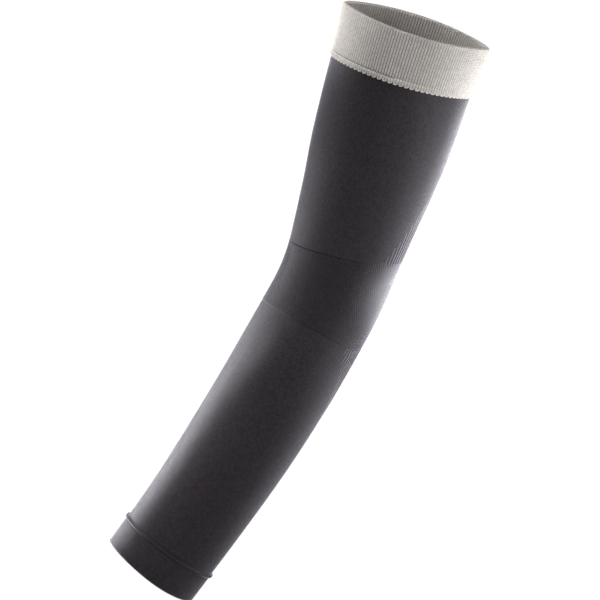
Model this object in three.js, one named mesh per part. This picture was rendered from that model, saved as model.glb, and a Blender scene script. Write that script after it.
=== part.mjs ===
// Compression sleeve for one arm, standing open in its worn form: a light ribbed
// band linked to a charcoal knitted tube with a shaped elbow and a turned hem.
// Millimetres, +Z up along the upper arm. The origin is the middle of the top
// mouth. Below the elbow the forearm leans toward -X, and the elbow faces +X.
import * as THREE from 'three';
import { LoftGeometry } from 'three/addons/geometries/LoftGeometry.js';

// Knit thickness, and the clearance kept between neighbouring pieces
const KNIT_WALL = 1.2;
const CLEARANCE = 0.3;

// Heights of the trims, and lengths down the middle line from the mouth
const BAND_HEIGHT = 31.8;
const SEAM_HEIGHT = 3.8;
const SEAM_HEAD = BAND_HEIGHT + CLEARANCE;
const SEAM_FOOT = SEAM_HEAD + SEAM_HEIGHT;
const TUBE_HEAD = SEAM_HEAD + CLEARANCE;
const ELBOW_HEAD = 158;
const ELBOW_FOOT = 212;
const SLEEVE_LENGTH = 409.5;
const HEM_HEIGHT = 23;
const HEM_HEAD = SLEEVE_LENGTH - HEM_HEIGHT;

// The wrist edge dips over the flats of the arm, more toward the elbow side
const WRIST_DIP = 1.6;
const WRIST_SKEW = 0.6;

// The elbow zone starts higher on the outside of the bend, and its lower edge
// rises over the flat of the arm on both sides
const ELBOW_HEAD_SLOPE = 4.5;
const ELBOW_FOOT_RISE = 4;

// Muscle swell on both flats of the forearm: a soft ridge that starts in the elbow
// zone, drifts to the inside of the bend, and falls off faster on that side
const SWELL_HEIGHT = 5;
const SWELL_INSIDE = THREE.MathUtils.degToRad(26);
const SWELL_OUTSIDE = THREE.MathUtils.degToRad(44);
const SWELL_MIDDLE = 226;
const SWELL_REACH = 40;
const SWELL_CREST = THREE.MathUtils.degToRad(96);
const SWELL_DRIFT = THREE.MathUtils.degToRad(0.2);

// Facets round the sleeve, and the step used to lay out the middle line
const FACETS = 44;
const MIDDLE_STEP = 1;

// Cross-sections of the knitted tube, from the mouth to the hem edge: how far the
// middle line leans, and the outside of the oval. Pinch narrows its two ends, where
// the folded band keeps a soft crease.
const SECTIONS = [
  { at: 'mouth', along: 0, lean: 0.6, width: 99.6, depth: 88, pinch: 0.55 },
  { at: 'band foot', along: 34, lean: -0.2, width: 95.4, depth: 88, pinch: 0.25 },
  { at: 'upper arm', along: 60, lean: -0.6, width: 93.2, depth: 87, pinch: 0.05 },
  { at: 'biceps', along: 90, lean: 0, width: 89.4, depth: 83.6, pinch: 0 },
  { at: 'above elbow', along: 125, lean: 1, width: 81.2, depth: 75, pinch: 0 },
  { at: 'elbow head', along: 162, lean: 1.5, width: 74, depth: 67.2, pinch: 0 },
  { at: 'crook', along: 180, lean: 5.6, width: 72.6, depth: 65.2, pinch: 0 },
  { at: 'elbow point', along: 201, lean: 11, width: 72.4, depth: 64.2, pinch: 0 },
  { at: 'forearm head', along: 240, lean: 12.3, width: 72.8, depth: 65.4, pinch: 0 },
  { at: 'forearm', along: 300, lean: 15.1, width: 71.2, depth: 64.4, pinch: 0 },
  { at: 'above wrist', along: 355, lean: 17.4, width: 68, depth: 59.8, pinch: 0 },
  { at: 'wrist', along: 385, lean: 18.9, width: 66.9, depth: 57.2, pinch: 0 },
  { at: 'hem edge', along: 413, lean: 19.4, width: 66.5, depth: 56.2, pinch: 0 },
];

// A smooth reading of one column of the table at any length down the sleeve
function column(name) {
  const last = SECTIONS.length - 1;
  const slopes = SECTIONS.map((row, i) => {
    const before = SECTIONS[Math.max(i - 1, 0)];
    const after = SECTIONS[Math.min(i + 1, last)];
    return (after[name] - before[name]) / (after.along - before.along);
  });
  return (along) => {
    const passed = SECTIONS.findLastIndex((row) => row.along <= along);
    const i = THREE.MathUtils.clamp(passed, 0, last - 1);
    const [start, end] = [SECTIONS[i], SECTIONS[i + 1]];
    const span = end.along - start.along;
    const f = (along - start.along) / span;
    const ease = f * f * (3 - 2 * f);
    const leave = f * (1 - f) * (1 - f) * span * slopes[i];
    const arrive = f * f * (f - 1) * span * slopes[i + 1];
    return start[name] + (end[name] - start[name]) * ease + leave + arrive;
  };
}

const leanAt = column('lean');
const widthAt = column('width');
const depthAt = column('depth');
const pinchAt = column('pinch');

// The middle line, laid out step by step along its lean
const middleLine = [new THREE.Vector3()];
const middleEnd = SLEEVE_LENGTH + 2 * WRIST_DIP + 2 * MIDDLE_STEP;
for (let along = MIDDLE_STEP; along <= middleEnd; along += MIDDLE_STEP) {
  const lean = THREE.MathUtils.degToRad(leanAt(along - MIDDLE_STEP / 2));
  const down = new THREE.Vector3(-Math.sin(lean), 0, -Math.cos(lean));
  middleLine.push(middleLine.at(-1).clone().addScaledVector(down, MIDDLE_STEP));
}

function middleAt(along) {
  const place = along / MIDDLE_STEP;
  const i = Math.floor(place);
  return middleLine[i].clone().lerp(middleLine[i + 1], place - i);
}

// Height of the muscle swell; turn is zero at the elbow side, and the two flats match
function swellAt(along, turn) {
  const fromElbow = Math.acos(Math.cos(turn));
  const pastCrest = fromElbow - SWELL_CREST - SWELL_DRIFT * (along - ELBOW_FOOT);
  const acrossCrest = pastCrest / (pastCrest > 0 ? SWELL_INSIDE : SWELL_OUTSIDE);
  const downCrest = (along - SWELL_MIDDLE) / SWELL_REACH;
  return SWELL_HEIGHT * Math.exp(-acrossCrest * acrossCrest - downCrest * downCrest);
}

// A point of the sleeve: length down the middle line, turn round the oval, and the
// distance out from the tube's outer face
function pointAt(along, turn, out) {
  const lean = THREE.MathUtils.degToRad(leanAt(along));
  const [halfWidth, halfDepth] = [widthAt(along) / 2, depthAt(along) / 2];
  const pinch = pinchAt(along);
  const [c, s] = [Math.cos(turn), Math.sin(turn)];
  const oval = new THREE.Vector2(halfWidth * c, halfDepth * s * (1 - pinch + pinch * Math.abs(s)));
  const slope = 1 - pinch + 2 * pinch * Math.abs(s);
  const outward = new THREE.Vector2(halfDepth * c * slope, halfWidth * s).normalize();
  oval.addScaledVector(outward, out + swellAt(along, turn));
  const across = new THREE.Vector3(Math.cos(lean), 0, -Math.sin(lean));
  const point = middleAt(along).addScaledVector(across, oval.x);
  point.y += oval.y;
  return point;
}

// A ring wall: its profile runs up the outer face from the foot, over the head, and
// down the inner face. Each profile row gives the share of the way from head to foot
// and the distance out from the tube's outer face.
function ringWall(name, headAt, footAt, profile, material) {
  const rings = [...profile, profile[0]].map(({ down, out }) => {
    const ring = [];
    for (let i = 0; i < FACETS; i += 1) {
      const turn = (i / FACETS) * 2 * Math.PI;
      const along = THREE.MathUtils.lerp(headAt(turn), footAt(turn), down);
      ring.push(pointAt(along, turn, out));
    }
    return ring;
  });
  const mesh = new THREE.Mesh(new LoftGeometry(rings), material);
  mesh.name = name;
  return mesh;
}

// The profile of an evenly thick knit wall, with rows evenly spaced from head to foot
function evenProfile(rows) {
  const shares = Array.from({ length: rows + 1 }, (_, i) => i / rows);
  const outer = shares.toReversed().map((down) => ({ down, out: 0 }));
  const inner = shares.map((down) => ({ down, out: -KNIT_WALL }));
  return [...outer, ...inner];
}

const level = (along) => () => along;
const elbowHead = (turn) => ELBOW_HEAD - ELBOW_HEAD_SLOPE * Math.cos(turn);
const elbowFoot = (turn) => ELBOW_FOOT - ELBOW_FOOT_RISE * Math.sin(turn) ** 2;
const wristEdge = (turn) => {
  const skew = 1 + WRIST_SKEW * Math.cos(turn);
  return SLEEVE_LENGTH + WRIST_DIP * skew * Math.sin(turn) ** 2;
};
const above = (edge) => (turn) => edge(turn) - CLEARANCE / 2;
const below = (edge) => (turn) => edge(turn) + CLEARANCE / 2;

// Top band: knitted double, folded over at the mouth, its foot drawn in to the seam
const BAND_PROFILE = [
  { down: 1, out: 0.3 },
  { down: 0.96, out: 0.7 },
  { down: 0.5, out: 0.7 },
  { down: 0.03, out: 0.7 },
  { down: 0, out: 0.2 },
  { down: 0, out: -1 },
  { down: 0.03, out: -1.5 },
  { down: 0.5, out: -1.5 },
  { down: 1, out: -1.5 },
];
const bandYarn = new THREE.MeshStandardMaterial({ color: 0xb7b2ac, roughness: 0.9, metalness: 0 });
const topBand = ringWall('top_band', level(0), level(BAND_HEIGHT), BAND_PROFILE, bandYarn);

// Linking seam: a round bead of light yarn that lies on the head of the charcoal tube
const SEAM_PROFILE = [
  { down: 1, out: 0.3 },
  { down: 1, out: 0.7 },
  { down: 0.8, out: 1.3 },
  { down: 0.45, out: 1.7 },
  { down: 0.15, out: 1.3 },
  { down: 0, out: 0.7 },
  { down: 0, out: 0.3 },
];
const seamYarn = new THREE.MeshStandardMaterial({ color: 0xc4bfb9, roughness: 0.9, metalness: 0 });
const bandSeam = ringWall('band_seam', level(SEAM_HEAD), level(SEAM_FOOT), SEAM_PROFILE, seamYarn);

// Upper-arm tube: plain charcoal knit
const UPPER_ARM_ROWS = 8;
const charcoalKnit = new THREE.MeshStandardMaterial({ color: 0x3a373b, roughness: 0.8, metalness: 0 });
const upperArmTube = ringWall(
  'upper_arm_tube', level(TUBE_HEAD), above(elbowHead), evenProfile(UPPER_ARM_ROWS), charcoalKnit,
);

// Elbow panel: pebbled knit, longer on the outside of the bend
const ELBOW_ROWS = 8;
const elbowKnit = new THREE.MeshStandardMaterial({ color: 0x333036, roughness: 0.75, metalness: 0 });
const elbowPanel = ringWall(
  'elbow_panel', below(elbowHead), above(elbowFoot), evenProfile(ELBOW_ROWS), elbowKnit,
);

// Forearm tube: plain charcoal knit
const FOREARM_ROWS = 11;
const forearmTube = ringWall(
  'forearm_tube', below(elbowFoot), above(level(HEM_HEAD)), evenProfile(FOREARM_ROWS), charcoalKnit,
);

// Wrist hem: the tube's end turned up inside and linked, with a rolled ridge at its head
const HEM_PROFILE = [
  { down: 1, out: -0.2 },
  { down: 0.96, out: 0.4 },
  { down: 0.5, out: 0.4 },
  { down: 0.17, out: 0.3 },
  { down: 0.14, out: 1.3 },
  { down: 0.105, out: 1.7 },
  { down: 0.07, out: 1.3 },
  { down: 0.04, out: 0.3 },
  { down: 0, out: 0 },
  { down: 0, out: -1.2 },
  { down: 0.04, out: -1.6 },
  { down: 0.5, out: -1.6 },
  { down: 0.96, out: -1.6 },
  { down: 1, out: -1.1 },
];
const hemKnit = new THREE.MeshStandardMaterial({ color: 0x3d3a3e, roughness: 0.8, metalness: 0 });
const wristHem = ringWall('wrist_hem', below(level(HEM_HEAD)), wristEdge, HEM_PROFILE, hemKnit);

const sleeve = new THREE.Group();
sleeve.name = 'compression_sleeve';
sleeve.add(topBand, bandSeam, upperArmTube, elbowPanel, forearmTube, wristHem);

export default sleeve;
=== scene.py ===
import math
from collections import namedtuple

import bpy
import numpy as np
from mathutils import Matrix, Vector


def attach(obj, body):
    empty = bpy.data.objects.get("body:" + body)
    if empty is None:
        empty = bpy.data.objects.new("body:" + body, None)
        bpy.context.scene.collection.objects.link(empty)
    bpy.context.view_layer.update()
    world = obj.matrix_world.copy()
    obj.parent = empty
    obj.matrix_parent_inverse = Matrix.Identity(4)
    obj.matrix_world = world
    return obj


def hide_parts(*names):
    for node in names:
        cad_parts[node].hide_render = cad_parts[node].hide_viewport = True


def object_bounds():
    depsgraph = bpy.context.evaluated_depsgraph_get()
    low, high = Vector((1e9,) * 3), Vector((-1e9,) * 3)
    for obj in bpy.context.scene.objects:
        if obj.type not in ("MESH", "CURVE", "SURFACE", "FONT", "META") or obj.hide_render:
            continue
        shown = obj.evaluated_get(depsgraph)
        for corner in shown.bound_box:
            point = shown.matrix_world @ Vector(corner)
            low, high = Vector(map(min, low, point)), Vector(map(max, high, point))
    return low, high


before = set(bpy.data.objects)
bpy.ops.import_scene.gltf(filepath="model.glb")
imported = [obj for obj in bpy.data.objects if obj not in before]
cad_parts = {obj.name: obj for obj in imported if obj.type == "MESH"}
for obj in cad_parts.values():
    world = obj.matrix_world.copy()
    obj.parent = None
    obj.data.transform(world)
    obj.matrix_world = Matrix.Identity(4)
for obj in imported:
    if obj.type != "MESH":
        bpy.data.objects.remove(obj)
cad_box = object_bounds()


# Top band
# A rib-knitted band of light grey yarn, folded over at the mouth so that it is double, and linked to the tube
# below. Its wales stand up as fine ribs on both faces, and it grips the upper arm.

# The sleeve's form: the lean of its middle line at each length down from the mouth, and the oval of the cloth
# there. Pinch narrows the two ends of the oval, where the folded band keeps a soft crease.
Section = namedtuple("Section", "along lean width depth pinch")
SECTIONS = (
    Section(along=0.000, lean=0.6, width=0.0996, depth=0.0880, pinch=0.55),
    Section(along=0.034, lean=-0.2, width=0.0954, depth=0.0880, pinch=0.25),
    Section(along=0.060, lean=-0.6, width=0.0932, depth=0.0870, pinch=0.05),
    Section(along=0.090, lean=0.0, width=0.0894, depth=0.0836, pinch=0),
    Section(along=0.125, lean=1.0, width=0.0812, depth=0.0750, pinch=0),
    Section(along=0.162, lean=1.5, width=0.0740, depth=0.0672, pinch=0),
    Section(along=0.180, lean=5.6, width=0.0726, depth=0.0652, pinch=0),
    Section(along=0.201, lean=11.0, width=0.0724, depth=0.0642, pinch=0),
    Section(along=0.240, lean=12.3, width=0.0728, depth=0.0654, pinch=0),
    Section(along=0.300, lean=15.1, width=0.0712, depth=0.0644, pinch=0),
    Section(along=0.355, lean=17.4, width=0.0680, depth=0.0598, pinch=0),
    Section(along=0.385, lean=18.9, width=0.0669, depth=0.0572, pinch=0),
    Section(along=0.413, lean=19.4, width=0.0665, depth=0.0562, pinch=0),
)
KNOTS = np.array([row.along for row in SECTIONS])
MIDDLE_STEP = 0.0005


def form(column, along):
    """One column of the table, read smoothly at any lengths down the sleeve."""
    values = np.array([getattr(row, column) for row in SECTIONS], float)
    before = np.r_[0, np.arange(len(KNOTS) - 1)]
    after = np.r_[np.arange(1, len(KNOTS)), len(KNOTS) - 1]
    slopes = (values[after] - values[before]) / (KNOTS[after] - KNOTS[before])
    i = np.clip(np.searchsorted(KNOTS, along, side="right") - 1, 0, len(KNOTS) - 2)
    span = KNOTS[i + 1] - KNOTS[i]
    f = (along - KNOTS[i]) / span
    ease = f * f * (3 - 2 * f)
    leave = f * (1 - f) ** 2 * span * slopes[i]
    arrive = f * f * (f - 1) * span * slopes[i + 1]
    return values[i] + (values[i + 1] - values[i]) * ease + leave + arrive


stations = np.arange(0, KNOTS[-1] + 2 * MIDDLE_STEP, MIDDLE_STEP)
leans = np.radians(form("lean", stations[:-1] + MIDDLE_STEP / 2))
middle_x = np.r_[0, np.cumsum(-np.sin(leans) * MIDDLE_STEP)]
middle_z = np.r_[0, np.cumsum(-np.cos(leans) * MIDDLE_STEP)]

# The muscle swell on both flats of the forearm, a soft ridge that drifts to the inside of the bend and falls
# off faster on that side
ELBOW_FOOT = 0.212
SWELL_HEIGHT = 0.0050
SWELL_INSIDE, SWELL_OUTSIDE = math.radians(26), math.radians(44)
SWELL_MIDDLE = 0.226
SWELL_REACH = 0.040
SWELL_CREST = math.radians(96)
SWELL_DRIFT = math.radians(200)


def from_elbow(turn):
    return np.arccos(np.clip(np.cos(turn), -1, 1))


def swell(along, turn):
    past_crest = from_elbow(turn) - SWELL_CREST - SWELL_DRIFT * (along - ELBOW_FOOT)
    across_crest = past_crest / np.where(past_crest > 0, SWELL_INSIDE, SWELL_OUTSIDE)
    down_crest = (along - SWELL_MIDDLE) / SWELL_REACH
    return SWELL_HEIGHT * np.exp(-across_crest**2 - down_crest**2)


def on_sleeve(along, turn, out):
    """Points by length down the middle line, turn round the oval from the elbow side, and distance out
    from the tube's outer face."""
    along, turn, out = np.broadcast_arrays(along, turn, out)
    lean = np.radians(form("lean", along))
    half_width, half_depth = form("width", along) / 2, form("depth", along) / 2
    pinch = form("pinch", along)
    c, s = np.cos(turn), np.sin(turn)
    out_across = half_depth * c * (1 - pinch + 2 * pinch * np.abs(s))
    out_deep = half_width * s
    rise = (out + swell(along, turn)) / np.hypot(out_across, out_deep)
    across = half_width * c + rise * out_across
    deep = half_depth * s * (1 - pinch + pinch * np.abs(s)) + rise * out_deep
    x = np.interp(along, stations, middle_x) + across * np.cos(lean)
    z = np.interp(along, stations, middle_z) - across * np.sin(lean)
    return np.stack([x, deep, z], axis=-1)


def turns(columns, shift=0.0):
    return (np.arange(columns) + shift) * (2 * math.pi / columns)


def level(along):
    return lambda turn: np.full_like(turn, along)


def girth(along):
    ring = on_sleeve(along, turns(360), 0)
    return float(np.linalg.norm(ring - np.roll(ring, 1, axis=0), axis=1).sum())


def piece_of(name, mesh):
    piece = bpy.data.objects.new(name, mesh)
    bpy.context.scene.collection.objects.link(piece)
    return piece


RING_COLUMNS = 320


def cloth_ring(name, head, foot, profile, material):
    """A closed ring of cloth. The profile runs up the outer face, over the head and down the inner face; each
    row is the share of the way from head to foot and the distance out from the tube's outer face."""
    turn = turns(RING_COLUMNS)
    alongs = np.array([head(turn) + (foot(turn) - head(turn)) * down for down, out in profile])
    outs = np.array([np.broadcast_to(out, RING_COLUMNS) for down, out in profile])
    points = on_sleeve(alongs, turn, outs).reshape(-1, 3)
    i, j = np.meshgrid(np.arange(len(profile)), np.arange(RING_COLUMNS), indexing="ij")
    next_i, next_j = (i + 1) % len(profile), (j + 1) % RING_COLUMNS
    corners = ((i, j), (i, next_j), (next_i, next_j), (next_i, j))
    faces = np.stack([row * RING_COLUMNS + column for row, column in corners], axis=-1).reshape(-1, 4)
    mesh = bpy.data.meshes.new(name)
    mesh.from_pydata(points.tolist(), [], faces.tolist())
    mesh.shade_smooth()
    mesh.materials.append(material)
    return piece_of(name, mesh)


class Link:
    """A socket of a node tree. Arithmetic on it adds Math nodes to the tree."""

    def __init__(self, nodes, socket):
        self.nodes, self.socket = nodes, socket

    def math(self, operation, *others):
        return self.nodes.add("ShaderNodeMath", {"operation": operation}, [self, *others])

    def __add__(self, other):
        return self.math("ADD", other)

    def __sub__(self, other):
        return self.math("SUBTRACT", other)

    def __mul__(self, other):
        return self.math("MULTIPLY", other)

    def __truediv__(self, other):
        return self.math("DIVIDE", other)

    def __pow__(self, other):
        return self.math("POWER", other)

    def __rsub__(self, other):
        return self.nodes.add("ShaderNodeMath", {"operation": "SUBTRACT"}, [other, self])

    __radd__, __rmul__ = __add__, __mul__


class Nodes:
    """A node tree being built, for a material or for geometry."""

    def __init__(self, tree):
        self.tree = tree
        tree.nodes.clear()

    def add(self, kind, settings=None, inputs=(), output=0):
        """A new node: its settings are set first, then its sockets take values or links."""
        node = self.tree.nodes.new(kind)
        for name, value in (settings or {}).items():
            setattr(node, name, value)
        for key, value in inputs.items() if isinstance(inputs, dict) else enumerate(inputs):
            if isinstance(value, Link):
                self.tree.links.new(value.socket, node.inputs[key])
            else:
                node.inputs[key].default_value = value
        return Link(self, node.outputs[output]) if node.outputs else None

    def parts(self, vector):
        """The three numbers of a vector."""
        node = self.add("ShaderNodeSeparateXYZ", {}, [vector]).socket.node
        return [Link(self, socket) for socket in node.outputs]

    def vector(self, x, y, z=0.0):
        return self.add("ShaderNodeCombineXYZ", {}, [x, y, z])

    def mix(self, low, high, share):
        """A colour between two colours."""
        inputs = {0: share, 6: (*low, 1), 7: (*high, 1)}
        return self.add("ShaderNodeMix", {"data_type": "RGBA"}, inputs, output=2)

    def noise(self, scale, place=None, detail=2.0):
        """Cloudy noise over the object, or over a place given."""
        place = place or self.add("ShaderNodeTexCoord", {}, output="Object")
        return self.add("ShaderNodeTexNoise", {}, {"Vector": place, "Scale": scale, "Detail": detail})

    def tone(self):
        """The tone that each stitch was given."""
        return self.add("ShaderNodeAttribute", {"attribute_name": "tone"}, output="Fac")


Sheen = namedtuple("Sheen", "weight roughness tint specular")


def cloth_shader(nodes, colour, roughness, height, depth, sheen):
    """Cloth with a varied colour, roughness and relief, and an even sheen."""
    relief = nodes.add("ShaderNodeBump", {}, {"Height": height, "Distance": depth})
    return nodes.add("ShaderNodeBsdfPrincipled", {}, {
        "Base Color": colour,
        "Roughness": roughness,
        "Normal": relief,
        "Specular IOR Level": sheen.specular,
        "Sheen Weight": sheen.weight,
        "Sheen Roughness": sheen.roughness,
        "Sheen Tint": (*sheen.tint, 1),
    })


def finish(name, shader):
    """A material whose shader a function builds."""
    material = bpy.data.materials.new(name)
    material.use_nodes = True
    nodes = Nodes(material.node_tree)
    nodes.add("ShaderNodeOutputMaterial", {}, {"Surface": shader(nodes)})
    return material


BAND_LIGHT = (0.83, 0.775, 0.715)
BAND_DARK = (0.58, 0.54, 0.495)
# Painted shade: the band's ground, seen in the grooves between the wales and stitches and under the seam
# bead, is painted far darker than its yarn.
BAND_GROOVE_SHADE = (0.20, 0.184, 0.166)
BAND_SHEEN = Sheen(weight=0.15, roughness=0.5, tint=(1, 0.98, 0.95), specular=0.2)
# The share by which the inner face's yarn is painted darker than the outer face's: painted shade inside the
# band's mouth.
BAND_INSIDE_PAINTED_SHADE = 0.92
FLECK_SCALE = 900
WEAR_SCALE = 300
FIBRE_SCALE = 4000
FIBRE_DEPTH = 0.00006


def matte(nodes):
    return nodes.noise(WEAR_SCALE) * 0.15 + 0.8


# Shade scales the yarn's colours down: painted shade, used for the band's inner face.
def band_wale_shader(nodes, shade=1.0):
    dark, light = ([part * shade for part in colour] for colour in (BAND_DARK, BAND_LIGHT))
    colour = nodes.mix(dark, light, nodes.tone() * 0.6 + nodes.noise(FLECK_SCALE) * 0.5)
    return cloth_shader(nodes, colour, matte(nodes), nodes.noise(FIBRE_SCALE), FIBRE_DEPTH, BAND_SHEEN)


# The inner face's wales, painted darker: painted shade inside the mouth.
def band_shaded_inside_shader(nodes):
    return band_wale_shader(nodes, BAND_INSIDE_PAINTED_SHADE)


# Painted shade in the grooves between the wales and stitches.
def band_shaded_ground_shader(nodes):
    colour = nodes.mix(BAND_GROOVE_SHADE, BAND_DARK, nodes.noise(FLECK_SCALE) * 0.25)
    return cloth_shader(nodes, colour, matte(nodes), nodes.noise(FIBRE_SCALE), FIBRE_DEPTH, BAND_SHEEN)


band_wale = finish("band_wale", band_wale_shader)
band_inside = finish("band_inside", band_shaded_inside_shader)
band_ground = finish("band_ground", band_shaded_ground_shader)

BAND_HEAD = 0.0005
BAND_FOOT = 0.0318
BAND_OUTER, BAND_INNER = 0.0004, -0.0009


def groove_fade(turn):
    """Grooves are plain over the crook and run out to nothing at the elbow side."""
    return np.clip((from_elbow(turn) - math.radians(45)) / math.radians(65), 0, 1)


FOOT_GROOVE = 0.0010
foot_groove = FOOT_GROOVE * groove_fade(turns(RING_COLUMNS))
BAND_PROFILE = [
    (1.00, BAND_OUTER - foot_groove),
    (0.98, BAND_OUTER - foot_groove / 2),
    (0.96, BAND_OUTER),
    *((down, BAND_OUTER) for down in np.linspace(0.9, 0.1, 9)),
    (0.03, BAND_OUTER),
    (0.005, BAND_OUTER - 0.0002),
    (0.00, BAND_OUTER - 0.0005),
    (0.005, BAND_INNER + 0.0002),
    (0.03, BAND_INNER),
    *((down, BAND_INNER) for down in np.linspace(0.1, 1, 10)),
]
band_cloth = cloth_ring("band_cloth", level(BAND_HEAD), level(BAND_FOOT), BAND_PROFILE, band_ground)

# A knit stitch is a pair of yarn legs that meet at its foot; each row is a place on one leg
LegPlace = namedtuple("LegPlace", "x y crest")
LEG = (
    LegPlace(x=0.05, y=-0.62, crest=0.40),
    LegPlace(x=0.17, y=-0.22, crest=1.00),
    LegPlace(x=0.27, y=0.22, crest=1.00),
    LegPlace(x=0.30, y=0.62, crest=0.50),
)
LEG_HALF_WIDTH = 0.165
LEG_ACROSS = ((-1.0, 0.0), (-0.5, 0.87), (0.5, 0.87), (1.0, 0.0))


def strip_faces(start, rows, columns):
    corners = [start + row * columns + column for row in range(rows - 1) for column in range(columns - 1)]
    return [(corner, corner + 1, corner + columns + 1, corner + columns) for corner in corners]


def pattern_mesh(name, points, faces):
    mesh = bpy.data.meshes.new(name)
    mesh.from_pydata(points, [], faces)
    return mesh


def knit_stitch():
    """A stitch one unit wide, high and deep, with its yarn standing out along +Z."""
    points, faces = [], []
    for side in (-1, 1):
        faces += strip_faces(len(points), len(LEG), len(LEG_ACROSS))
        for place in LEG:
            points += [
                (side * place.x + share * LEG_HALF_WIDTH, place.y, lift * place.crest)
                for share, lift in LEG_ACROSS
            ]
    return pattern_mesh("knit_stitch", points, faces)


def geometry_tree(name, sockets):
    """A geometry tree with named inputs, and the links that its nodes take them from."""
    tree = bpy.data.node_groups.new(name, "GeometryNodeTree")
    for label, kind in sockets:
        tree.interface.new_socket(label, in_out="INPUT", socket_type=kind)
    tree.interface.new_socket("Result", in_out="OUTPUT", socket_type="NodeSocketGeometry")
    nodes = Nodes(tree)
    source = tree.nodes.new("NodeGroupInput")
    return nodes, {label: Link(nodes, source.outputs[label]) for label, kind in sockets}


def end_tree(nodes, geometry, material):
    real = nodes.add("GeometryNodeRealizeInstances", {}, [geometry])
    smooth = nodes.add("GeometryNodeSetShadeSmooth", {}, {"Geometry": real})
    painted = nodes.add("GeometryNodeSetMaterial", {}, {"Geometry": smooth, "Material": material})
    nodes.add("NodeGroupOutput", {}, {"Result": painted})
    return nodes.tree


def stitching_tree():
    """Sets one stitch on every point of a chart, turned to the cloth and sized to its place."""
    nodes, given = geometry_tree("stitching", (
        ("Chart", "NodeSocketGeometry"),
        ("Stitch", "NodeSocketObject"),
        ("Fullness", "NodeSocketFloat"),
        ("Relief", "NodeSocketFloat"),
        ("Seed", "NodeSocketInt"),
        ("Material", "NodeSocketMaterial"),
    ))
    outward, upward, size = (
        nodes.add("GeometryNodeInputNamedAttribute", {"data_type": "FLOAT_VECTOR"}, {"Name": name})
        for name in ("outward", "upward", "size")
    )
    axes = {"primary_axis": "Z", "secondary_axis": "Y"}
    facing = nodes.add("FunctionNodeAxesToRotation", axes, [outward, upward])
    wide, tall, deep = nodes.parts(size)
    placed = nodes.add("GeometryNodeInstanceOnPoints", {}, {
        "Points": given["Chart"],
        "Instance": nodes.add("GeometryNodeObjectInfo", {}, {"Object": given["Stitch"]}, output="Geometry"),
        "Rotation": facing,
        "Scale": nodes.vector(wide * given["Fullness"], tall, deep * given["Relief"]),
    })
    tone = nodes.add("FunctionNodeRandomValue", {"data_type": "FLOAT"}, {"Seed": given["Seed"]}, output=1)
    toned = nodes.add(
        "GeometryNodeStoreNamedAttribute",
        {"data_type": "FLOAT", "domain": "INSTANCE"},
        {"Geometry": placed, "Name": "tone", "Value": tone},
    )
    return end_tree(nodes, toned, given["Material"])


stitching = stitching_tree()
LOWEST_STITCH = 0.25


def made_plain(piece, tree, values):
    """Runs a geometry tree on a piece and keeps the result as its plain mesh."""
    modifier = piece.modifiers.new(tree.name, "NODES")
    modifier.node_group = tree
    for item in tree.interface.items_tree:
        if item.name in values:
            modifier[item.identifier] = values[item.name]
    graph = bpy.context.evaluated_depsgraph_get()
    result = bpy.data.meshes.new_from_object(piece.evaluated_get(graph), depsgraph=graph)
    piece.modifiers.remove(modifier)
    chart, piece.data = piece.data, result
    bpy.data.meshes.remove(chart)
    return piece


def stitches(name, points, upward, stitch, fullness, relief, seed, material, scale=1.0):
    """A piece of stitches on rows of points round the sleeve. Upward is the step up the cloth at each point,
    and scale makes the stitches lower there, down to none."""
    around = (np.roll(points, -1, axis=1) - np.roll(points, 1, axis=1)) / 2
    outward = np.cross(around, upward)
    wide, tall = np.linalg.norm(around, axis=-1), np.linalg.norm(upward, axis=-1)
    deep = np.broadcast_to(scale, wide.shape)
    keep = deep > LOWEST_STITCH
    chart = bpy.data.meshes.new(name)
    chart.from_pydata(points[keep].tolist(), [], [])
    vectors = {
        "outward": outward / np.linalg.norm(outward, axis=-1, keepdims=True),
        "upward": upward / tall[..., None],
        "size": np.stack([wide, tall, deep], axis=-1),
    }
    for label, values in vectors.items():
        layer = chart.attributes.new(label, "FLOAT_VECTOR", "POINT")
        layer.data.foreach_set("vector", values[keep].astype(np.float32).ravel())
    pattern = piece_of(name + "_pattern", stitch)
    piece = made_plain(piece_of(name, chart), stitching, {
        "Stitch": pattern,
        "Fullness": fullness,
        "Relief": relief,
        "Seed": seed,
        "Material": material,
    })
    bpy.data.objects.remove(pattern)
    return piece


WALES = 160
COURSE = 0.00112
WALE_RELIEF = 0.00052
WALE_FULLNESS = 0.84
FIRST_COURSE = BAND_FOOT - COURSE * 0.82
LAST_COURSE = BAND_HEAD + COURSE * 0.6

wale_turn = turns(WALES, 0.5)
wale_alongs = np.arange(FIRST_COURSE, LAST_COURSE, -COURSE)[:, None]
outer_face = on_sleeve(wale_alongs, wale_turn, BAND_OUTER)
inner_face = on_sleeve(wale_alongs[::-1], wale_turn, BAND_INNER)
band_outer_wales, band_inner_wales = (
    stitches(name, rows, np.gradient(rows, axis=0), knit_stitch(), WALE_FULLNESS, WALE_RELIEF, seed, material)
    for name, rows, seed, material in (
        ("band_outer_wales", outer_face, 3, band_wale),
        ("band_inner_wales", inner_face, 4, band_inside),
    )
)


def belongs(pieces, node):
    for piece in pieces:
        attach(piece, "root")
        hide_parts(node)


belongs([band_cloth, band_outer_wales, band_inner_wales], "top_band")
girth(BAND_FOOT / 2)


# Band seam
# The seam that links the band to the tube: a round bead of the band's own yarn lying on the head of the tube,
# with a loop at every second wale that makes its lower edge scalloped.

SEAM_HEAD = 0.0319
SEAM_FOOT = 0.0359
BEAD_FOOT = 0.0350
BEAD_SHARES = (1.00, 1.00, 0.80, 0.45, 0.15, 0.00, 0.00)
BEAD_OUTS = (-0.0002, 0.0003, 0.0009, 0.0011, 0.0008, 0.0002, -0.0002)
seam_bead = cloth_ring(
    "seam_bead", level(SEAM_HEAD), level(BEAD_FOOT), list(zip(BEAD_SHARES, BEAD_OUTS)), band_ground
)

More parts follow.
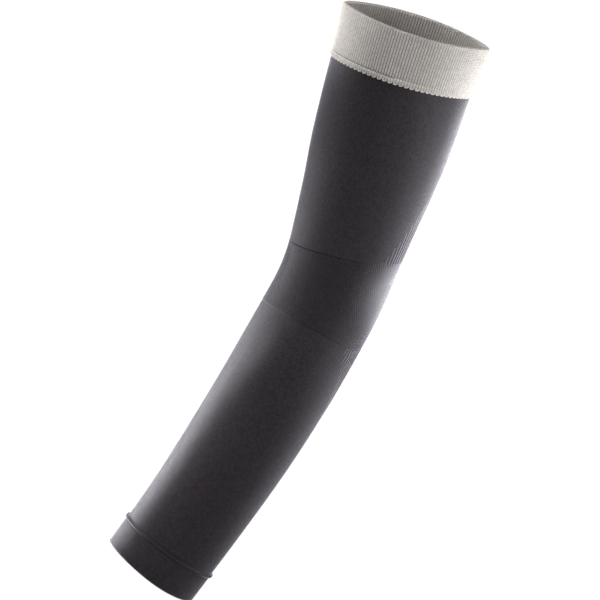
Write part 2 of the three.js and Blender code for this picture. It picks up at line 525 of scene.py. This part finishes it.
SEAM_SHARES = (0.84, 0.52, 0.20, -0.06)
SEAM_FULLNESS = 0.95
seam_rows = np.array([
    on_sleeve(
        SEAM_HEAD + (BEAD_FOOT - SEAM_HEAD) * share, wale_turn,
        np.interp(share, BEAD_SHARES[-2:0:-1], BEAD_OUTS[-2:0:-1]),
    )
    for share in SEAM_SHARES
])
seam_full = np.ones(seam_rows.shape[:2])
seam_full[-1] = 1 - groove_fade(wale_turn)
seam_wales = stitches(
    "seam_wales", seam_rows, np.gradient(seam_rows, axis=0), knit_stitch(), SEAM_FULLNESS, WALE_RELIEF, 5,
    band_wale, seam_full,
)

LOOP_SIDES = 5
LOOP_STEPS = 8
LoopYarn = namedtuple("LoopYarn", "half_width drop radius")
LOOP_YARNS = (
    LoopYarn(half_width=0.27, drop=0.38, radius=0.14),
    LoopYarn(half_width=0.10, drop=0.14, radius=0.14),
)
LOOP_LEAN = 0.35
LOOP_CENTRE = 0.4
LOOP_ROUND = 0.6
LOOP_HEIGHT = 0.0016
LOOP_OUT = 0.0002
LOOP_RELIEF = 0.0006


def scallop():
    """Two yarn loops, one in the other, hanging from y = 0 and about one unit wide and high."""
    points, faces = [], []
    for yarn in LOOP_YARNS:
        start = len(points)
        for step in range(LOOP_STEPS + 1):
            c, s = math.cos(math.pi * step / LOOP_STEPS), math.sin(math.pi * step / LOOP_STEPS)
            lean = LOOP_LEAN * yarn.drop
            centre = Vector((-yarn.half_width * c - lean * s, -yarn.drop * s, LOOP_CENTRE))
            way = Vector((yarn.half_width * s - lean * c, -yarn.drop * c, 0)).normalized()
            for side in range(LOOP_SIDES):
                b = 2 * math.pi * side / LOOP_SIDES
                reach = yarn.radius * math.cos(b)
                points.append(centre + Vector((-way.y * reach, way.x * reach, LOOP_ROUND * math.sin(b))))
        for step in range(LOOP_STEPS):
            here, there = start + step * LOOP_SIDES, start + (step + 1) * LOOP_SIDES
            for side in range(LOOP_SIDES):
                turned = (side + 1) % LOOP_SIDES
                faces.append((here + side, there + side, there + turned, here + turned))
    return pattern_mesh("scallop", points, faces)


loop_turn = turns(WALES // 2, 0.5)
loop_along = SEAM_FOOT - LOOP_HEIGHT / 2
loop_row = on_sleeve(loop_along, loop_turn, LOOP_OUT)[None]
loop_upward = on_sleeve(loop_along - LOOP_HEIGHT, loop_turn, LOOP_OUT)[None] - loop_row
seam_loops = stitches("seam_loops", loop_row, loop_upward, scallop(), 1.0, LOOP_RELIEF, 6, band_wale)
belongs([seam_bead, seam_wales, seam_loops], "band_seam")


# Upper-arm tube
# The charcoal tube from the seam to the elbow, a fine plain knit of nylon and elastane off a circular
# machine. On the elbow side it runs out in a gore of ribs, which lets the cloth open as the elbow bends.

KNIT_WALL = 0.0012
TUBE_HEAD = 0.0318
ELBOW_HEAD = 0.158
ELBOW_HEAD_SLOPE = 0.0045
EDGE_REACH = 0.0008


def elbow_head(turn):
    return ELBOW_HEAD - ELBOW_HEAD_SLOPE * np.cos(turn)


def tube_profile(length, rows, head_out=0.0, foot_out=0.0):
    """Rows of an even wall. Its edges stand out, or draw in to a groove, by the distances given."""
    fine = np.array([0, 0.2, 0.5, 1, 1.7, 2.6]) * EDGE_REACH / length
    shares = np.unique(np.r_[fine, np.linspace(0, 1, rows), 1 - fine])[::-1]
    outer = []
    for down in shares:
        near_head = math.exp(-((down * length / EDGE_REACH) ** 2))
        near_foot = math.exp(-(((1 - down) * length / EDGE_REACH) ** 2))
        outer.append((down, head_out * near_head + foot_out * near_foot))
    return outer + [(down, -KNIT_WALL) for down in np.linspace(0, 1, rows // 3)]


CHARCOAL_LIGHT = (0.057, 0.0462, 0.0545)
CHARCOAL_DARK = (0.0120, 0.0097, 0.0112)
CHARCOAL_SHEEN = Sheen(weight=1.0, roughness=0.3, tint=(0.90, 0.86, 0.97), specular=0.15)


def charcoal_shader(nodes, tone):
    """Charcoal yarn whose tone runs from none to all of its lighter colour."""
    colour = nodes.mix(CHARCOAL_DARK, CHARCOAL_LIGHT, tone)
    roughness = nodes.noise(WEAR_SCALE) * 0.2 + 0.5
    return cloth_shader(nodes, colour, roughness, nodes.noise(FIBRE_SCALE), FIBRE_DEPTH, CHARCOAL_SHEEN)


# Painted shade: the ground under the stitches and ribs is kept near the darker charcoal, so the gaps between
# them read dark.
def tube_shaded_ground_shader(nodes):
    return charcoal_shader(nodes, nodes.noise(FLECK_SCALE) * 0.3)


def tube_yarn_shader(nodes):
    return charcoal_shader(nodes, nodes.tone() * 0.35 + nodes.noise(FLECK_SCALE) * 0.5 + 0.07)


tube_ground = finish("tube_ground", tube_shaded_ground_shader)
tube_yarn = finish("tube_yarn", tube_yarn_shader)
GROOVE = 0.0004
elbow_groove = GROOVE * groove_fade(turns(RING_COLUMNS))
upper_arm_cloth = cloth_ring(
    "upper_arm_cloth", level(TUBE_HEAD), elbow_head,
    tube_profile(ELBOW_HEAD - TUBE_HEAD, 44, foot_out=-elbow_groove), tube_ground,
)

# The gores at both edges of the elbow zone, widest there and running out along the tube
GORE_TURN = math.radians(50)
GORE_LENGTH = 0.060


def gore(reach, turn):
    """How far a place lies inside a gore, by its distance from the elbow zone's edge. It is below zero
    outside."""
    return 1 - from_elbow(turn) / GORE_TURN - reach / GORE_LENGTH


PLAIN_LEG = ((0.10, -0.56), (0.32, 0.56))
PLAIN_ACROSS = ((-0.20, 0.0), (0.0, 1.0), (0.20, 0.0))
PLAIN_COURSE = 0.0013
PLAIN_RELIEF = 0.00008
STITCH_SINK = 0.00002


def plain_stitch():
    """A fine stitch one unit wide, high and deep: two slanted yarn legs, each a low ridge."""
    points, faces = [], []
    for side in (-1, 1):
        faces += strip_faces(len(points), len(PLAIN_LEG), len(PLAIN_ACROSS))
        points += [(side * x + share, y, lift) for x, y in PLAIN_LEG for share, lift in PLAIN_ACROSS]
    return pattern_mesh("plain_stitch", points, faces)


def face_chart(head, foot, courses, columns, shift=0.5):
    """Lengths and turns of stitches all over the face between two edges, from the foot up."""
    turn = np.broadcast_to(turns(columns, shift), (courses, columns))
    share = 1 - (np.arange(courses) + 0.5)[:, None] / courses
    return head(turn) + (foot(turn) - head(turn)) * share, turn


def face_stitches(name, along, turn, out, stitch, fullness, relief, seed, material, scale=1.0):
    rows = on_sleeve(along, turn, out)
    return stitches(name, rows, np.gradient(rows, axis=0), stitch, fullness, relief, seed, material, scale)


UPPER_WALES = 220


def above_groove(turn):
    return elbow_head(turn) - EDGE_REACH * 0.7 * groove_fade(turn)


upper_along, upper_turn = face_chart(
    level(SEAM_FOOT), above_groove, round((ELBOW_HEAD - SEAM_FOOT) / PLAIN_COURSE), UPPER_WALES
)
upper_arm_stitches = face_stitches(
    "upper_arm_stitches", upper_along, upper_turn, -STITCH_SINK, plain_stitch(), 1.0, PLAIN_RELIEF, 12,
    tube_yarn, np.where(gore(elbow_head(upper_turn) - upper_along, upper_turn) > 0, 0, 1),
)

RIDGE_ACROSS = ((-0.5, 0.0), (-0.42, 0.85), (0.0, 1.0), (0.42, 0.85), (0.5, 0.0))
RIDGE_END = 0.54


def ridge(runs_up):
    """A length of a low rounded rib, one unit wide and deep, that runs up the cloth or round it."""
    points = [(share, end, lift) for end in (-RIDGE_END, RIDGE_END) for share, lift in RIDGE_ACROSS]
    if not runs_up:
        points = [(-y, x, lift) for x, y, lift in points]
    return pattern_mesh("ridge", points, strip_faces(0, 2, len(RIDGE_ACROSS)))


# The gore ribs' yarn is painted lighter than the tube's: a painted highlight on the raised ribs.
RIB_HIGHLIGHT = (0.062, 0.053, 0.061)


def rib_highlight_shader(nodes):
    colour = nodes.mix(CHARCOAL_DARK, RIB_HIGHLIGHT, nodes.noise(FLECK_SCALE) * 0.6 + 0.3)
    roughness = nodes.noise(WEAR_SCALE) * 0.2 + 0.45
    return cloth_shader(nodes, colour, roughness, nodes.noise(FIBRE_SCALE), FIBRE_DEPTH, CHARCOAL_SHEEN)


rib_knit = finish("rib_knit", rib_highlight_shader)
GORE_WALES = 80
GORE_STEP = 0.0015
GORE_RELIEF = 0.00022
GORE_FULLNESS = 0.80


def gore_ribs(name, edge, way, seed):
    """Ribs that run from the elbow zone's edge along the tube and get shorter to both sides."""
    turn = turns(GORE_WALES, 0.5)
    reach = np.arange(GORE_STEP / 2, GORE_LENGTH, GORE_STEP)[:, None]
    along = np.sort(edge(turn) + way * reach, axis=0)[::-1]
    heights = np.clip(gore(np.abs(along - edge(turn)), turn) * 4 + 0.1, 0, 1)
    return face_stitches(
        name, along, np.broadcast_to(turn, along.shape), -2 * STITCH_SINK, ridge(True), GORE_FULLNESS,
        GORE_RELIEF, seed, rib_knit, heights,
    )


upper_gore_ribs = gore_ribs("upper_gore_ribs", elbow_head, -1, 9)
belongs([upper_arm_cloth, upper_arm_stitches, upper_gore_ribs], "upper_arm_tube")
girth((TUBE_HEAD + ELBOW_HEAD) / 2)


# Elbow panel
# The zone round the elbow, knitted on with tuck stitches that stand up as small pebbles and let the cloth
# bend. Over the point of the elbow it changes to close, smooth courses with more shine, and a painted
# highlight makes its colour lighter there.

ELBOW_FOOT_RISE = 0.004


def elbow_foot(turn):
    return ELBOW_FOOT - ELBOW_FOOT_RISE * np.sin(turn) ** 2


PANEL_DARK = (0.0135, 0.0109, 0.0127)
# The cap's colours, about twice as light as the panel's: a painted highlight over the point of the elbow.
PANEL_LIGHT = (0.041, 0.0335, 0.0392)
CAP_HIGHLIGHT_DARK = (0.034, 0.0305, 0.0345)
CAP_HIGHLIGHT_LIGHT = (0.080, 0.0735, 0.083)
CAP_SHEEN = Sheen(weight=1.0, roughness=0.35, tint=(0.93, 0.93, 1.0), specular=0.4)
CAP_CORE, CAP_EDGE = 0.008, 0.044
CAP_STRETCH = (1.0, 1.0, 1.15)
ELBOW_POINT = on_sleeve(0.173, 0.0, 0.0) * CAP_STRETCH


def cap(along, turn):
    """How much a place on the panel belongs to the cap over the point of the elbow, from none to all."""
    away = np.linalg.norm(on_sleeve(along, turn, 0) * CAP_STRETCH - ELBOW_POINT, axis=-1)
    return np.clip((CAP_EDGE - away) / (CAP_EDGE - CAP_CORE), 0, 1)


def cap_highlight_shader(nodes):
    colour = nodes.mix(CAP_HIGHLIGHT_DARK, CAP_HIGHLIGHT_LIGHT, nodes.noise(FLECK_SCALE) * 0.7 + 0.1)
    roughness = nodes.noise(WEAR_SCALE) * 0.2 + 0.35
    return cloth_shader(nodes, colour, roughness, nodes.noise(FIBRE_SCALE), FIBRE_DEPTH, CAP_SHEEN)


def panel_shader(nodes, tone):
    """Dull pebbled cloth, with the cap's shine and painted highlight, a lighter colour, near the point of the
    elbow.
    """
    colour = nodes.mix(PANEL_DARK, PANEL_LIGHT, tone)
    roughness = nodes.noise(WEAR_SCALE) * 0.2 + 0.5
    dull = cloth_shader(nodes, colour, roughness, nodes.noise(FIBRE_SCALE), FIBRE_DEPTH, CHARCOAL_SHEEN)
    place = nodes.add("ShaderNodeTexCoord", {}, output="Object")
    stretched = nodes.add("ShaderNodeVectorMath", {"operation": "MULTIPLY"}, [place, CAP_STRETCH])
    ends = [stretched, ELBOW_POINT]
    away = nodes.add("ShaderNodeVectorMath", {"operation": "DISTANCE"}, ends, output="Value")
    smooth = {"interpolation_type": "SMOOTHSTEP"}
    # Share is the painted highlight's mask: all cap near the point of the elbow, none past its edge.
    share = nodes.add("ShaderNodeMapRange", smooth, [away, CAP_CORE, CAP_EDGE, 1.0, 0.0])
    return nodes.add("ShaderNodeMixShader", {}, [share, dull, cap_highlight_shader(nodes)])


# Painted shade: the ground between the pebbles is kept near the darker colour, so the gaps between them read
# dark.
def panel_shaded_ground_shader(nodes):
    return panel_shader(nodes, nodes.noise(FLECK_SCALE) * 0.15)


def pebble_shader(nodes):
    return panel_shader(nodes, nodes.tone() * 0.3 + nodes.noise(FLECK_SCALE) * 0.4 + 0.1)


panel_ground = finish("panel_ground", panel_shaded_ground_shader)
pebble_knit = finish("pebble_knit", pebble_shader)
elbow_cloth = cloth_ring(
    "elbow_cloth", elbow_head, elbow_foot,
    tube_profile(ELBOW_FOOT - ELBOW_HEAD, 30, head_out=-elbow_groove), panel_ground,
)

PEBBLE_COLUMNS = 124
PEBBLE_ROWS = 36
PEBBLE_RELIEF = 0.00018
PEBBLE_SIDES = 6
PEBBLE_RINGS = ((0.52, 0.0), (0.36, 0.7))


def pebble():
    """A low rounded bump one unit wide, high and deep."""
    points = [(0, 0, 1.0)]
    for radius, lift in PEBBLE_RINGS:
        angles = turns(PEBBLE_SIDES)
        points += [(radius * math.cos(a), radius * math.sin(a), lift) for a in angles]
    faces = []
    for side in range(1, PEBBLE_SIDES + 1):
        turned = side % PEBBLE_SIDES + 1
        faces.append((side, turned, turned + PEBBLE_SIDES, side + PEBBLE_SIDES))
        faces.append((side + PEBBLE_SIDES, turned + PEBBLE_SIDES, 0))
    return pattern_mesh("pebble", points, faces)


def below_groove(turn):
    return elbow_head(turn) + EDGE_REACH * 0.6 * groove_fade(turn)


pebble_along, pebble_turn = face_chart(below_groove, elbow_foot, PEBBLE_ROWS, PEBBLE_COLUMNS)
pebble_turn = pebble_turn + np.arange(PEBBLE_ROWS)[:, None] % 2 * (math.pi / PEBBLE_COLUMNS)
elbow_pebbles = face_stitches(
    "elbow_pebbles", pebble_along, pebble_turn, -STITCH_SINK, pebble(), 0.98, PEBBLE_RELIEF, 7, pebble_knit,
    1 - cap(pebble_along, pebble_turn),
)

CAP_COURSES = 40
CAP_COLUMNS = 160
CAP_RELIEF = 0.00010
cap_along, cap_turn = face_chart(elbow_head, elbow_foot, CAP_COURSES, CAP_COLUMNS)
elbow_courses = face_stitches(
    "elbow_courses", cap_along, cap_turn, -2 * STITCH_SINK, ridge(False), 1.0, CAP_RELIEF, 11, pebble_knit,
    cap(cap_along, cap_turn),
)
belongs([elbow_cloth, elbow_pebbles, elbow_courses], "elbow_panel")
girth((ELBOW_HEAD + ELBOW_FOOT) / 2)


# Forearm tube
# The charcoal tube from the elbow to the wrist, the same plain knit as on the upper arm, drawn over the swell
# of the forearm. Its head starts with a gore of ribs under the point of the elbow.

HEM_HEAD = 0.3865
FOREARM_LIP = 0.0003
forearm_cloth = cloth_ring(
    "forearm_cloth", elbow_foot, level(HEM_HEAD),
    tube_profile(HEM_HEAD - ELBOW_FOOT, 58, head_out=FOREARM_LIP), tube_ground,
)
FOREARM_WALES = 176
forearm_along, forearm_turn = face_chart(
    elbow_foot, level(HEM_HEAD), round((HEM_HEAD - ELBOW_FOOT) / PLAIN_COURSE), FOREARM_WALES
)
forearm_stitches = face_stitches(
    "forearm_stitches", forearm_along, forearm_turn, -STITCH_SINK, plain_stitch(), 1.0, PLAIN_RELIEF, 13,
    tube_yarn, np.where(gore(forearm_along - elbow_foot(forearm_turn), forearm_turn) > 0, 0, 1),
)
forearm_gore_ribs = gore_ribs("forearm_gore_ribs", elbow_foot, 1, 10)
belongs([forearm_cloth, forearm_stitches, forearm_gore_ribs], "forearm_tube")
girth((ELBOW_FOOT + HEM_HEAD) / 2)


# Wrist hem
# The end of the tube turned up inside and linked, so that the cloth is double. The linking rolls up in a
# round ridge near the head of the hem.

RIDGE_PLACE = 0.0024
RIDGE_REACH = 0.0009
RIDGE_HEIGHT = 0.0015
RIDGE_REACH_BELOW = 0.001
RIDGE_ON_FLATS = 0.35
RIDGE_ROOM = 0.0020
CREASE = 0.0005
CREASE_PLACE = RIDGE_PLACE + 0.0014
CREASE_REACH = 0.0004
HEM_OUTER, HEM_INNER = 0.0003, -0.0016
SLEEVE_LENGTH = 0.4095
WRIST_DIP = 0.0016
WRIST_SKEW = 0.6
hem_height = SLEEVE_LENGTH - HEM_HEAD


def wrist_edge(turn):
    return SLEEVE_LENGTH + WRIST_DIP * (1 + WRIST_SKEW * np.cos(turn)) * np.sin(turn) ** 2


def hem_out(along, turn):
    """How far the hem's face stands out: a rolled ridge, lower over the flats, with a tight crease below."""
    roll = RIDGE_HEIGHT * math.exp(-(((along - RIDGE_PLACE) / RIDGE_REACH) ** 2))
    fold = CREASE * math.exp(-(((along - CREASE_PLACE) / CREASE_REACH) ** 2))
    base = HEM_OUTER * min(1, max(0, (along - RIDGE_PLACE) / RIDGE_REACH_BELOW))
    height = RIDGE_ON_FLATS + (1 - RIDGE_ON_FLATS) * np.cos(turn) ** 2
    return base + roll * height - fold * groove_fade(turn)


FINE_ROWS_END = 0.0055
PLAIN_ROWS_END = hem_height - 0.0008
plain_rows = np.linspace(FINE_ROWS_END, PLAIN_ROWS_END, 14)
hem_alongs = np.unique(np.r_[np.linspace(0, FINE_ROWS_END, 28), plain_rows])
HEM_PROFILE = [
    (1.00, HEM_OUTER - 0.0008),
    (0.985, HEM_OUTER - 0.0002),
    *((along / hem_height, hem_out(along, turns(RING_COLUMNS))) for along in hem_alongs[::-1]),
    (0.00, -0.0012),
    (0.04, HEM_INNER),
    *((down, HEM_INNER) for down in np.linspace(0.1, 0.96, 8)),
    (0.99, HEM_INNER + 0.0004),
]
hem_cloth = cloth_ring("hem_cloth", level(HEM_HEAD), wrist_edge, HEM_PROFILE, tube_ground)

LINKING_STITCHES = 180
LINKING_HEIGHT = 0.0011
LINKING_RELIEF = 0.00012
LINKING_SINK = 0.00005
linking_turn = turns(LINKING_STITCHES)
ridge_share = RIDGE_PLACE / hem_height
ridge_along = HEM_HEAD * (1 - ridge_share) + wrist_edge(linking_turn) * ridge_share
ridge_out = hem_out(RIDGE_PLACE, linking_turn) - LINKING_SINK
linking_row = on_sleeve(ridge_along, linking_turn, ridge_out)[None]
linking_upward = on_sleeve(ridge_along - LINKING_HEIGHT, linking_turn, ridge_out)[None] - linking_row
hem_linking = stitches(
    "hem_linking", linking_row, linking_upward, knit_stitch(), 1.0, LINKING_RELIEF, 8, tube_yarn
)
below_ridge = level(HEM_HEAD + RIDGE_PLACE + RIDGE_ROOM)
hem_courses = round((hem_height - RIDGE_PLACE - RIDGE_ROOM) / PLAIN_COURSE)
hem_along, hem_turn = face_chart(below_ridge, wrist_edge, hem_courses, FOREARM_WALES)
hem_stitches = face_stitches(
    "hem_stitches", hem_along, hem_turn, HEM_OUTER - STITCH_SINK, plain_stitch(), 1.0, PLAIN_RELIEF, 14,
    tube_yarn,
)
belongs([hem_cloth, hem_stitches, hem_linking], "wrist_hem")
girth((HEM_HEAD + SLEEVE_LENGTH) / 2)


# Studio
# A pale floor well below the sleeve, an even white surround, and soft boxes all round it. The camera sees the
# floor and the surround paler than their light makes them, so that they stay plain behind the sleeve.

FLOOR_DROP = 0.30
FLOOR_SIZE = 2.4
FLOOR_DARK, FLOOR_LIGHT = (0.93, 0.93, 0.93), (0.96, 0.96, 0.96)
FLOOR_CLOUDS = 2
FLOOR_GLOW = 0.90
FLOOR_EVEN = 0.8
bpy.ops.mesh.primitive_plane_add(size=FLOOR_SIZE)
floor = bpy.context.object
floor.name = "floor"
floor.data.transform(Matrix.Translation((0, 0, cad_box[0].z - FLOOR_DROP)))


def floor_shader(nodes):
    colour = nodes.mix(FLOOR_DARK, FLOOR_LIGHT, nodes.noise(FLOOR_CLOUDS))
    paint = nodes.add("ShaderNodeBsdfPrincipled", {}, {"Base Color": colour, "Roughness": 0.9})
    glow = nodes.add("ShaderNodeEmission", {}, {"Color": (1, 1, 1, 1), "Strength": FLOOR_GLOW})
    seen = nodes.add("ShaderNodeLightPath", {}, output="Is Camera Ray")
    return nodes.add("ShaderNodeMixShader", {}, [seen * FLOOR_EVEN, paint, glow])


floor.data.materials.append(finish("floor_paint", floor_shader))

AIM = Vector((-0.0192, 0, -0.1988))
CAMERA_DISTANCE = 10.0
CAMERA_RISE = math.radians(10)
CAMERA_ROLL = math.radians(17.4)
SENSOR = 36.0
FRAME_WIDTH = 0.3953
ahead = Vector((0, math.cos(CAMERA_RISE), -math.sin(CAMERA_RISE)))
level_right = Vector((1, 0, 0))
level_up = level_right.cross(ahead)
right = level_right * math.cos(CAMERA_ROLL) + level_up * math.sin(CAMERA_ROLL)
up = level_up * math.cos(CAMERA_ROLL) - level_right * math.sin(CAMERA_ROLL)
camera = bpy.data.objects.new("camera", bpy.data.cameras.new("camera"))
bpy.context.scene.collection.objects.link(camera)
camera.data.sensor_width = SENSOR
camera.data.lens = SENSOR * CAMERA_DISTANCE / FRAME_WIDTH
camera.data.clip_end = 100
axes = Matrix((right, up, -ahead)).transposed().to_4x4()
camera.matrix_world = Matrix.Translation(AIM - ahead * CAMERA_DISTANCE) @ axes
bpy.context.scene.camera = camera

SURROUND_LIGHT = 0.03
world = bpy.data.worlds.new("surround")
bpy.context.scene.world = world
world.use_nodes = True
world_nodes = Nodes(world.node_tree)
seen = world_nodes.add("ShaderNodeLightPath", {}, output="Is Camera Ray")
strength = seen + SURROUND_LIGHT
sky = world_nodes.add("ShaderNodeBackground", {}, {"Color": (1, 1, 1, 1), "Strength": strength})
world_nodes.add("ShaderNodeOutputWorld", {}, {"Surface": sky})
bpy.context.scene.view_settings.view_transform = "Standard"

LAMP_COLOUR = (0.95, 0.965, 1.0)


def soft_box(name, place, aim, size, power, spread):
    lamp = bpy.data.lights.new(name, "AREA")
    lamp.shape = "RECTANGLE"
    lamp.size, lamp.size_y = size
    lamp.energy, lamp.color, lamp.spread = power, LAMP_COLOUR, math.radians(spread)
    box = bpy.data.objects.new(name, lamp)
    bpy.context.scene.collection.objects.link(box)
    box.location = place
    box.rotation_euler = (aim - place).to_track_quat("-Z", "Y").to_euler()
    box.visible_camera = False


# Soft boxes round the sleeve: where each is aimed, its turn from the camera's side to the right, its rise,
# its distance, its size, its power and how far its light spreads in degrees
SoftBox = namedtuple("SoftBox", "name aim turn rise distance size power spread", defaults=(180,))
BAND_AIM = Vector((0, 0, -0.02))
UPPER_AIM = Vector((0.02, 0, -0.10))
GORE_AIM = Vector((0.015, 0, -0.140))
ELBOW_AIM = Vector((0.012, 0, -0.168))
LOW_AIM = Vector((-0.08, 0, -0.33))
LARGE_BOX = (0.35, 0.55)
TINY_BOX = (0.05, 0.03)
WIDE_BOX = (0.15, 0.10)
TALL_BOX = (0.10, 0.15)
MID_BOX = (0.08, 0.12)
LONG_BOX = (0.08, 0.20)
BOXES = (
    SoftBox("right_side", AIM, turn=60, rise=-15, distance=0.75, size=LARGE_BOX, power=3.05),
    SoftBox("front", AIM, turn=15, rise=5, distance=0.75, size=LARGE_BOX, power=0.6),
    SoftBox("overhead", AIM, turn=60, rise=75, distance=0.75, size=LARGE_BOX, power=4.6),
    SoftBox("back", AIM, turn=180, rise=-15, distance=0.75, size=LARGE_BOX, power=3.6),
    SoftBox("left_side", AIM, turn=-105, rise=10, distance=0.75, size=LARGE_BOX, power=2.0),
    SoftBox("band_left", BAND_AIM, turn=-110, rise=20, distance=0.14, size=TINY_BOX, power=0.026, spread=40),
    SoftBox("band_top", BAND_AIM, turn=-40, rise=65, distance=0.30, size=WIDE_BOX, power=0.058, spread=40),
    SoftBox("upper_rim", UPPER_AIM, turn=132, rise=0, distance=0.25, size=TALL_BOX, power=0.18, spread=60),
    SoftBox("elbow_front", GORE_AIM, turn=55, rise=10, distance=0.25, size=MID_BOX, power=0.10, spread=110),
    SoftBox("elbow_side", ELBOW_AIM, turn=100, rise=-10, distance=0.25, size=MID_BOX, power=0.23, spread=90),
    SoftBox("forearm_front", LOW_AIM, turn=-30, rise=30, distance=0.22, size=LONG_BOX, power=0.23),
    SoftBox("forearm_left", LOW_AIM, turn=-60, rise=30, distance=0.22, size=LONG_BOX, power=0.28),
    SoftBox("forearm_rim", LOW_AIM, turn=-120, rise=28, distance=0.22, size=LONG_BOX, power=0.53, spread=90),
    SoftBox("forearm_right", LOW_AIM, turn=105, rise=-15, distance=0.22, size=LONG_BOX, power=0.23),
)
for box in BOXES:
    around, rise = math.radians(box.turn), math.radians(box.rise)
    level_way = right * math.sin(around) - ahead * math.cos(around)
    way = level_way * math.cos(rise) + up * math.sin(rise)
    soft_box(box.name, box.aim + way * box.distance, box.aim, box.size, box.power, box.spread)
